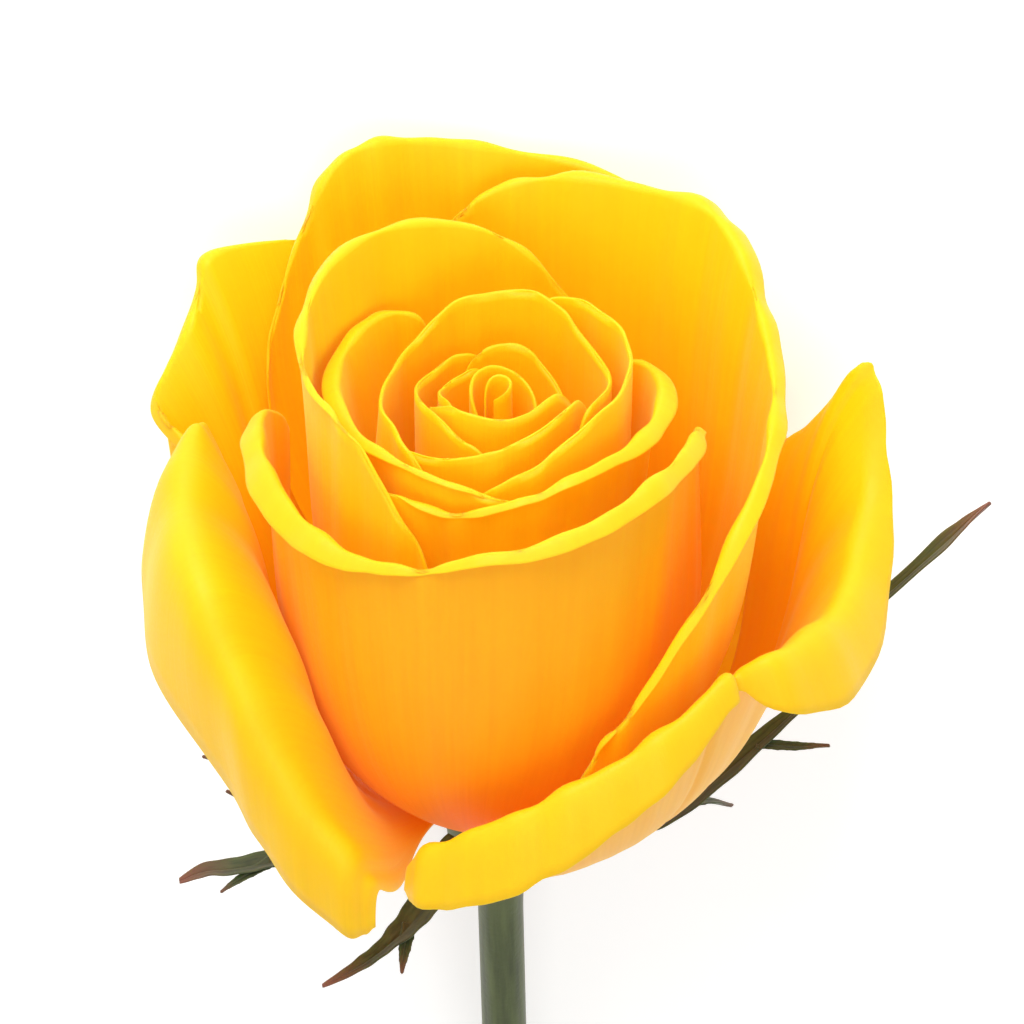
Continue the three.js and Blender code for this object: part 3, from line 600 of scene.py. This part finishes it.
def lay_petal(name, finish, layer, at, belly, launch, thick, across, up, rim, slot="petal",
              flute=0.16, ripple=0.08, wave=0.0, nibble=0.12):
    rim = [tuple(station) + (0,) * (6 - len(station)) for station in rim]
    lips = 3 if any(station[4] + station[5] > 1.9 for station in rim) else 1
    shape = {"rim": rim, "layer": layer, "at": at, "belly": belly, "launch": launch,
             "across": across, "up": up, "lips": lips}
    push = settle(shape)
    rolled = ROLLED_LIP_ROWS if lips == 3 else PLAIN_LIP_ROWS
    u = np.linspace(0, 1, PETAL_COLUMNS)
    t = np.linspace(0, 1, BODY_ROWS)
    lip = np.arange(1, rolled + 1) / rolled
    rows = petal_rows(shape, u, t, lip)
    place = np.concatenate([t * (up - 1), up - 1 + lip * lips]) / (up - 1 + lips)
    eased = along_line(along_line(push, place).T, u).T
    rows = rows + unit(outward(rows)) * np.maximum(eased, 0)[..., None]
    # Broad flutes run up the blade, and the thin rim waves and is never quite even.
    v = np.concatenate([t * LIP_START, LIP_START + lip * (1 - LIP_START)])[:, None]
    normal = unit(np.cross(np.gradient(rows, axis=1), np.gradient(rows, axis=0)))
    width = max(station[1] for station in rim) * math.radians(abs(rim[-1][0] - rim[0][0]))
    turns = width / 9
    p = layer * 1.7
    broad = np.sin(u * turns * 6.28 + p) + 0.6 * np.sin(u * turns * 10.7 + 2 * p + 2 * v)
    swell = flute * broad * np.clip(v * 1.6 - 0.25, 0, 1) ** 1.5
    waves = np.sin(u * width * 0.42 + 3 * p) + 0.6 * np.sin(u * width * 0.83 + 5 * p + 3 * v)
    crinkle = ripple * waves * np.clip((v - 0.7) / 0.3, 0, 1) ** 2
    crinkle = crinkle + wave * np.sin(u * width * 0.3 + p) * np.clip((v - 0.6) / 0.4, 0, 1) ** 2
    rows = rows + normal * (swell + crinkle)[..., None]
    climb = unit(np.gradient(rows, axis=0))
    uneven = np.sin(u * width * 0.9 + 7 * p) + 0.6 * np.sin(u * width * 1.7 + 4 * p)
    rows = rows + climb * (nibble * uneven * np.clip((v - 0.9) / 0.1, 0, 1))[..., None]
    edge_u = np.minimum(u, 1 - u) * width
    # The blade thins towards its rim and towards both side edges.
    thin = thick * (0.36 + 0.64 * np.clip((1 - v) * 7, 0, 1))
    thin = thin * (0.5 + 0.5 * np.clip(edge_u / 3, 0, 1))
    points, faces, edge = closed_sheet(rows, thin, 0)
    uv = np.stack(np.meshgrid(u, v.ravel()), -1).reshape(-1, 2)
    outside = np.concatenate([np.ones(len(uv)), np.zeros(len(uv)), np.zeros(len(edge)) + 0.5])
    build_mesh(name + "_petal", in_place(points), faces, np.vstack([uv, uv, uv[edge]]), outside,
               finish, slot, name)


heart_skin = petal_finish("heart_petal_skin", (0.94, 0.28, 0.001), (0.97, 0.57, 0.001), (0.95, 0.56, 0.002),
                          (0.94, 0.28, 0.001), (0.97, 0.55, 0.001), (0.95, 0.55, 0.002), 0.62, 1.0)
lay_petal(
    "bud_heart", heart_skin, slot="petal_heart",
    layer=0, at=180, belly=0.3, launch=80, thick=0.34, across=13, up=7,
    flute=0.02, ripple=0.04, nibble=0.05,
    rim=[
        (-30, 0.9, 55.5), (60, 1.1, 56.6), (150, 1.4, 57), (220, 1.5, 56.6), (280, 1.4, 54),
    ],
)
lay_petal(
    "bud_wrap", heart_skin, slot="petal_heart",
    layer=1, at=186, belly=0.3, launch=78, thick=0.34, across=13, up=7,
    flute=0.04, ripple=0.05, nibble=0.05,
    rim=[
        (60, 3.8, 51), (95, 3.8, 54), (150, 3.5, 56), (210, 3.2, 56.8), (265, 2.9, 56),
        (310, 2.7, 53.5), (345, 2.6, 50),
    ],
)

# The first whorl is three short petals rolled closely round the heart. Like every petal they
# are living sheets, at most half a millimetre thick, that narrow to a claw at the hip.
lay_petal(
    "whorl_1_left", heart_skin, slot="petal_heart",
    layer=2, at=250, belly=0.3, launch=74, thick=0.34, across=12, up=7,
    flute=0.06, ripple=0.05, nibble=0.06,
    rim=[
        (188, 6.3, 53.5), (205, 6.2, 54.6), (222, 6.1, 54.4), (250, 6.1, 54.8), (280, 6.1, 56.4),
        (305, 6.1, 57), (325, 6.1, 54), (335, 6.1, 50),
    ],
)
lay_petal(
    "whorl_1_back", heart_skin, slot="petal_heart",
    layer=3, at=150, belly=0.3, launch=72, thick=0.34, across=11, up=7,
    flute=0.06, ripple=0.05, nibble=0.06,
    rim=[
        (95, 7.2, 50), (110, 7.2, 52.5), (141, 7.2, 55), (152, 7.2, 56.2), (167, 7.1, 56.9),
        (184, 7, 56.4), (200, 6.9, 55.2), (215, 6.9, 52),
    ],
)
lay_petal(
    "whorl_1_front", heart_skin, slot="petal_heart",
    layer=4, at=4, belly=0.3, launch=70, thick=0.34, across=12, up=7,
    flute=0.06, ripple=0.05, nibble=0.06,
    rim=[
        (-70, 7.4, 56), (-42, 7.6, 58.6), (-29, 7.7, 58.7), (-10, 7.8, 58.6), (9, 7.8, 58.6),
        (23, 7.9, 59), (40, 8, 60), (52, 8, 59.5), (70, 8, 56),
    ],
)

# The second whorl is two petals that lap over each other across the front of the heart,
# with plain rims that stand up.
lay_petal(
    "whorl_2_left", heart_skin, slot="petal_heart",
    layer=5, at=265, belly=0.3, launch=68, thick=0.36, across=14, up=7,
    flute=0.08, ripple=0.06, nibble=0.07,
    rim=[
        (186, 8.6, 53), (200, 8.6, 54.6), (213, 8.6, 54.8), (236, 8.6, 54.6), (270, 8.6, 56.2),
        (298, 8.7, 57.8), (318, 8.9, 57.6), (336, 9.4, 56.6), (350, 9.8, 55.6), (362, 9.8, 53),
    ],
)
lay_petal(
    "whorl_2_front", heart_skin, slot="petal_heart",
    layer=6, at=0, belly=0.3, launch=66, thick=0.36, across=13, up=7,
    flute=0.08, ripple=0.06, nibble=0.07,
    rim=[
        (-66, 12.6, 52), (-47, 12.8, 55.3), (-33, 12.5, 55.8), (-18, 12.1, 56.5), (-4, 11.6, 57.3),
        (10, 11.1, 58.1), (26, 10.6, 59), (44, 10, 59.6), (60, 9.6, 58.5), (75, 9.4, 55),
    ],
)

# The third whorl is a tall petal at the back, one on the right and one on the left whose
# rim is thick and rolled outwards.
inner_skin = petal_finish("inner_petal_skin", (0.94, 0.26, 0.001), (0.97, 0.59, 0.001), (0.95, 0.56, 0.002),
                          (0.94, 0.26, 0.001), (0.97, 0.56, 0.001), (0.95, 0.55, 0.002), 0.6, 2.0)
lay_petal(
    "whorl_3_back", inner_skin,
    layer=7, at=180, belly=0.34, launch=62, thick=0.38, across=18, up=7,
    flute=0.1, ripple=0.07, nibble=0.04,
    rim=[
        (44, 11.2, 56), (57, 11.2, 59), (90, 11.3, 57.2), (125, 11.4, 57.2), (144, 11.4, 59.3),
        (160, 11.6, 60.5), (182, 11.6, 60), (200, 11.6, 59.6), (219, 11.6, 57.8), (240, 11.6, 56),
        (270, 11.8, 56.6), (300, 13.2, 58), (318, 14, 57.2), (330, 14.2, 54.5),
    ],
)
lay_petal(
    "whorl_3_right", inner_skin,
    layer=8, at=78, belly=0.34, launch=58, thick=0.38, across=15, up=7,
    flute=0.12, ripple=0.08, nibble=0.04,
    rim=[
        (-8, 14.3, 53.8), (1, 14.3, 55.4), (13, 14.2, 56.9), (25, 13.9, 58.6), (43, 13.6, 60),
        (60, 13.5, 60.4), (80, 13.5, 60), (100, 13.6, 59.6), (118, 13.7, 59.9), (133, 13.7, 59.8),
        (147, 13.7, 59.3), (160, 13.6, 58), (172, 13.5, 55),
    ],
)
lay_petal(
    "whorl_3_left", inner_skin,
    layer=9, at=-70, belly=0.34, launch=54, thick=0.4, across=15, up=7,
    flute=0.12, ripple=0.08, nibble=0.04,
    rim=[
        (-152, 15.2, 53), (-146, 16, 55.4, 5, 0.8, 0), (-137, 16.8, 56.3, 8, 1, 0),
        (-126, 16.9, 56.6, 10, 1.2, 0), (-112, 16.7, 56.5, 10, 1.4, 0),
        (-95, 16.5, 56.8, 10, 1.6, 0.3), (-75, 16.4, 57.8, 10, 1.5, 0.4), (-57, 16.2, 57, 8, 1.1, 0.3),
        (-42, 16, 57, 6, 0.7, 0.2), (-27, 15.8, 56.6, 4, 0.5, 0.2), (-14, 15.8, 55.8, 3, 0.4, 0.1),
        (-1, 15.8, 55, 3, 0.3, 0), (8, 15.6, 53.5),
    ],
)

# The fourth whorl is the single broad petal that closes the inner bud at the front. Its rim
# turns over a little.
lay_petal(
    "whorl_4_front", inner_skin,
    layer=10, at=30, belly=0.36, launch=50, thick=0.4, across=16, up=7,
    flute=0.14, ripple=0.08, nibble=0.04,
    rim=[
        (-46, 18, 53), (-38, 17.9, 54.2), (-29, 17.7, 54.1, 5, 0.5, 0), (-19, 17.3, 53.6, 8, 0.7, 0.2),
        (-8, 16.8, 54, 8, 0.9, 0.2), (4, 17, 55.2, 6, 0.8, 0.2), (14, 17, 56.1, 6, 0.8, 0.2),
        (26, 16.9, 57, 7, 1, 0.2), (39, 16.6, 57.4, 8, 1.2, 0.3), (54, 16.5, 56.8, 8, 1.5, 0.4),
        (67, 16.5, 56.8, 8, 1.8, 0.5), (82, 16.4, 56.6, 8, 2, 0.5), (101, 16.4, 55.4, 8, 1.6, 0.4),
        (117, 16.3, 53.7, 6, 1, 0), (130, 16.2, 51),
    ],
)

# The left collar is a large petal that stands round the bud, with a long straight free edge
# that dives into the gap at the front.
outer_skin = petal_finish("outer_petal_skin", (0.93, 0.22, 0.001), (0.98, 0.61, 0.001), (0.94, 0.56, 0.002),
                          (0.92, 0.24, 0.001), (0.96, 0.53, 0.001), (0.93, 0.54, 0.003), 0.54, 3.0)
lay_petal(
    "collar_left", outer_skin,
    layer=12, at=250, belly=0.38, launch=42, thick=0.42, across=18, up=8,
    flute=0.16, ripple=0.08, nibble=0.05,
    rim=[
        (158, 20.6, 53), (172, 20.4, 58.4, 4, 0.6, 0), (184, 20.3, 61.3, 6, 1, 0.2),
        (202, 20.2, 63.2, 8, 1.6, 0.4), (221, 20.1, 64.4, 8, 1.6, 0.5), (242, 20, 64.3, 8, 1.2, 0.4),
        (258, 20, 63, 6, 0.8, 0.2), (275, 20, 62, 4, 0.6, 0.2), (293, 20, 62, 2, 0.5, 0.1),
        (305, 19.8, 61.6, 0, 0.4, 0), (316, 19.7, 59.6), (326, 19.8, 55.8), (335, 20, 51.2),
        (341, 20.2, 46), (346, 20.2, 36),
    ],
)

# The front guard is the barrel-shaped petal at the front, with its lip rolled over. Its
# outside is painted a deeper orange than the others, most of all near the hip: painted shade, for a face
# that turns down and away from the light.
guard_skin_with_painted_shade = petal_finish("guard_petal_skin_painted_shade", (0.93, 0.22, 0.001), (0.97, 0.58, 0.001), (0.92, 0.54, 0.003),
                          (0.86, 0.17, 0.001), (0.93, 0.42, 0.001), (0.9, 0.53, 0.003), 0.6, 4.0)
lay_petal(
    "front_guard", guard_skin_with_painted_shade,
    layer=13, at=-15, belly=0.46, launch=20, thick=0.45, across=18, up=8,
    flute=0.16, ripple=0.08, nibble=0.05,
    rim=[
        (-112, 24, 44), (-100, 24.3, 50, 4, 1.2, 0.4), (-84, 24.5, 52.3, 8, 2.1, 1),
        (-70, 24.6, 52.2, 10, 2.5, 1.3), (-55, 24.6, 51.4, 10, 2.6, 1.4), (-41, 24.6, 50.8, 8, 2, 1),
        (-29, 24.5, 51, 6, 1.1, 0.5), (-16, 24.5, 52.2, 5, 0.7, 0.2), (-4, 24.4, 54.4, 6, 1.1, 0.4),
        (14, 24, 55.8, 7, 1.5, 0.7), (30, 23.4, 57.2, 8, 1.7, 0.8), (46, 22.6, 58, 8, 1.8, 0.9),
        (62, 21.6, 57, 8, 1.6, 0.8), (76, 20.8, 55, 4, 1, 0.4), (88, 20.6, 50),
    ],
)

# The right collar is the largest petal: it stands behind the bud and its long free edge
# runs down to the foot of the bloom.
lay_petal(
    "collar_right", outer_skin,
    layer=15, at=105, belly=0.42, launch=24, thick=0.45, across=18, up=8,
    flute=0.2, ripple=0.08, nibble=0.07,
    rim=[
        (18, 26, 24), (24, 26.3, 28.6, 0, 0.3, 0), (33, 27, 34.6, 4, 0.6, 0.2),
        (47, 28, 44.3, 8, 1, 0.3), (63, 28.2, 51.6, 8, 1.6, 0.6), (80, 28.2, 54.6, 6, 1.4, 0.8),
        (96, 28.2, 56.5, 8, 1.5, 0.9), (110, 28.4, 59.6, 9, 1.8, 1), (122, 28.8, 63, 12, 2.4, 1.2),
        (133, 29, 64.4, 12, 2.8, 1.2), (149, 28.8, 63.2, 12, 2.6, 1), (167, 28.4, 62.6, 10, 2, 0.6),
        (180, 28, 61, 8, 1.4, 0.3), (190, 27.4, 58), (198, 27, 53),
    ],
)

# The crown is the tall petal at the very back of the bloom. It stands clear of the collars
# and only its rim turns out.
lay_petal(
    "crown_back", outer_skin,
    layer=16, at=188, belly=0.42, launch=24, thick=0.45, across=14, up=8,
    flute=0.16, ripple=0.08, nibble=0.07,
    rim=[
        (134, 31.4, 55), (147, 31.8, 59.5, 8, 0.8, 0.3), (161, 32.2, 61.4, 10, 1.6, 0.8),
        (180, 32.4, 62.8, 12, 2.4, 1.2), (193, 32.4, 64.4, 12, 2.4, 1.2),
        (204, 32.4, 65.6, 12, 2.2, 1), (212, 32.3, 64.6, 12, 1.6, 0.6), (219, 32, 60, 8, 0.8, 0.3),
        (227, 31.6, 53), (234, 31, 44),
    ],
)

# The left wing is the petal on the far left, behind the left apron, with a pointed tip that
# turns out.
lay_petal(
    "wing_left", outer_skin,
    layer=17, at=250, belly=0.44, launch=18, thick=0.45, across=13, up=8,
    flute=0.25, ripple=0.14, nibble=0.05,
    rim=[
        (206, 35, 48, 20), (213, 36, 52.5, 24, 0.8, 0.2), (223, 37, 54.6, 26, 1.2, 0.4),
        (232, 38.4, 55.4, 30, 1.2, 0.3), (236, 38.2, 53.4, 30, 1, 0.4), (241, 37.4, 50, 30, 1, 0.6),
        (246, 38.4, 46.4, 34, 1, 0.8), (249.5, 38.6, 43, 34, 1.4, 1.4), (252, 34, 39, 22, 0.6, 0.6),
        (254, 30.4, 34, 12), (258, 28, 27, 8),
    ],
)

# The left apron reflexes strongly, so its lip hangs down over its own back. Light soaks
# through it, so its outside stays orange-yellow.
apron_skin = petal_finish("apron_petal_skin", (0.93, 0.22, 0.001), (0.97, 0.59, 0.001), (0.8, 0.5, 0.002),
                          (0.86, 0.24, 0.002), (0.92, 0.44, 0.004), (0.94, 0.56, 0.004), 0.54, 5.0)
lay_petal(
    "apron_left", apron_skin,
    layer=18, at=-62, belly=0.44, launch=12, thick=0.5, across=15, up=8,
    flute=0.2, ripple=0.14, nibble=0.14,
    rim=[
        (-102, 31.6, 46, 24, 1, 2), (-98, 31.2, 47, 32, 3.4, 5.4), (-91, 30.6, 45.6, 40, 6.4, 9.6),
        (-82, 30.2, 44.4, 44, 8, 14), (-70, 30.4, 43.4, 48, 7, 17), (-60, 30.6, 41, 50, 5, 19),
        (-51, 30.8, 35, 50, 4, 17.5), (-44, 30.8, 29, 50, 4, 15), (-36, 30.6, 21.8, 50, 3.6, 12.5),
        (-29, 30.5, 16.8, 48, 2.8, 10), (-25.5, 30.3, 13.6, 46, 2.2, 7.4),
        (-24.2, 30, 11.4, 40, 1.6, 4),
    ],
)

# The right apron is as wide as half the bloom, and its rim is rolled outwards into a long
# soft lip. Its back is pale and peach-coloured.
pale_skin = petal_finish("pale_backed_petal_skin",
                         (0.93, 0.22, 0.001), (0.97, 0.59, 0.001), (0.8, 0.5, 0.002),
                         (0.84, 0.44, 0.11), (0.9, 0.5, 0.07), (0.92, 0.56, 0.01), 0.54, 6.0)
lay_petal(
    "apron_right", pale_skin,
    layer=19, at=46, belly=0.58, launch=9, thick=0.5, across=22, up=8,
    flute=0.2, ripple=0.14, nibble=0.14,
    rim=[
        (-19.6, 28.4, 14, 24, 1.6, 2), (-15, 29, 17.4, 22, 3, 5), (-8, 29.6, 20.6, 22, 3.8, 6.6),
        (2, 30, 23.8, 22, 4.2, 6.8), (11, 30.2, 26.8, 22, 4.2, 6.4), (20, 30.6, 29.4, 22, 4, 5.4),
        (29, 31, 31.8, 22, 3.6, 4.2), (38, 31.4, 34.2, 24, 2.8, 3), (46, 31.8, 36.2, 26, 2, 2),
        (50.5, 31.6, 34.8, 28, 1.2, 1.6), (55, 32.8, 36, 30, 4.6, 5.4), (66, 33.8, 34.4, 32, 6, 6.6),
        (77, 35.4, 33.8, 34, 5.4, 6), (90, 37, 35.8, 36, 4.6, 0.8), (100, 39, 40.6, 38, 2.8, -1.6),
        (105.5, 40, 46, 36, 1.8, -1.8), (108.5, 39.8, 48.4, 32, 1, -1), (112, 37, 42, 28, 0.8, -0.4),
        (118, 34.6, 35, 24),
    ],
)

# Two guard petals at the back carry the bloom on the table. They are pale on the outside,
# like the right apron, and the oldest of the bloom.
lay_petal(
    "back_guard_right", pale_skin,
    layer=20, at=129, belly=0.44, launch=16, thick=0.5, across=13, up=8,
    flute=0.25, ripple=0.16, nibble=0.15,
    rim=[
        (101, 35.4, 13, 18), (108, 35.4, 17, 20, 0.4, 0.4), (114, 35.6, 21.5, 20, 0.6, 0.5),
        (119, 36, 27, 22, 0.8, 0.6), (125, 37, 32.6, 24, 1.6, 1), (132, 38, 35.8, 26, 2.2, 1.6),
        (140, 38.2, 36.6, 26, 2.4, 1.8), (148, 34.6, 35, 24, 1.4, 1.2), (155, 31.2, 29, 18, 0.6, 0.6),
        (160, 28.6, 22, 12),
    ],
)
lay_petal(
    "back_guard_left", pale_skin,
    layer=21, at=228, belly=0.44, launch=14, thick=0.5, across=12, up=8,
    flute=0.25, ripple=0.16, nibble=0.15,
    rim=[
        (202, 33, 28, 16), (208, 34.2, 36, 20, 0.8, 0.6), (214, 36.6, 41.5, 24, 1.4, 1.2),
        (222, 39.4, 44.6, 28, 2.4, 2), (230, 40.2, 44.8, 30, 2.6, 2.2),
        (238, 39.4, 41.5, 28, 2.2, 1.8), (246, 38, 34, 22, 1, 0.8), (252, 36.4, 26, 16),
    ],
)
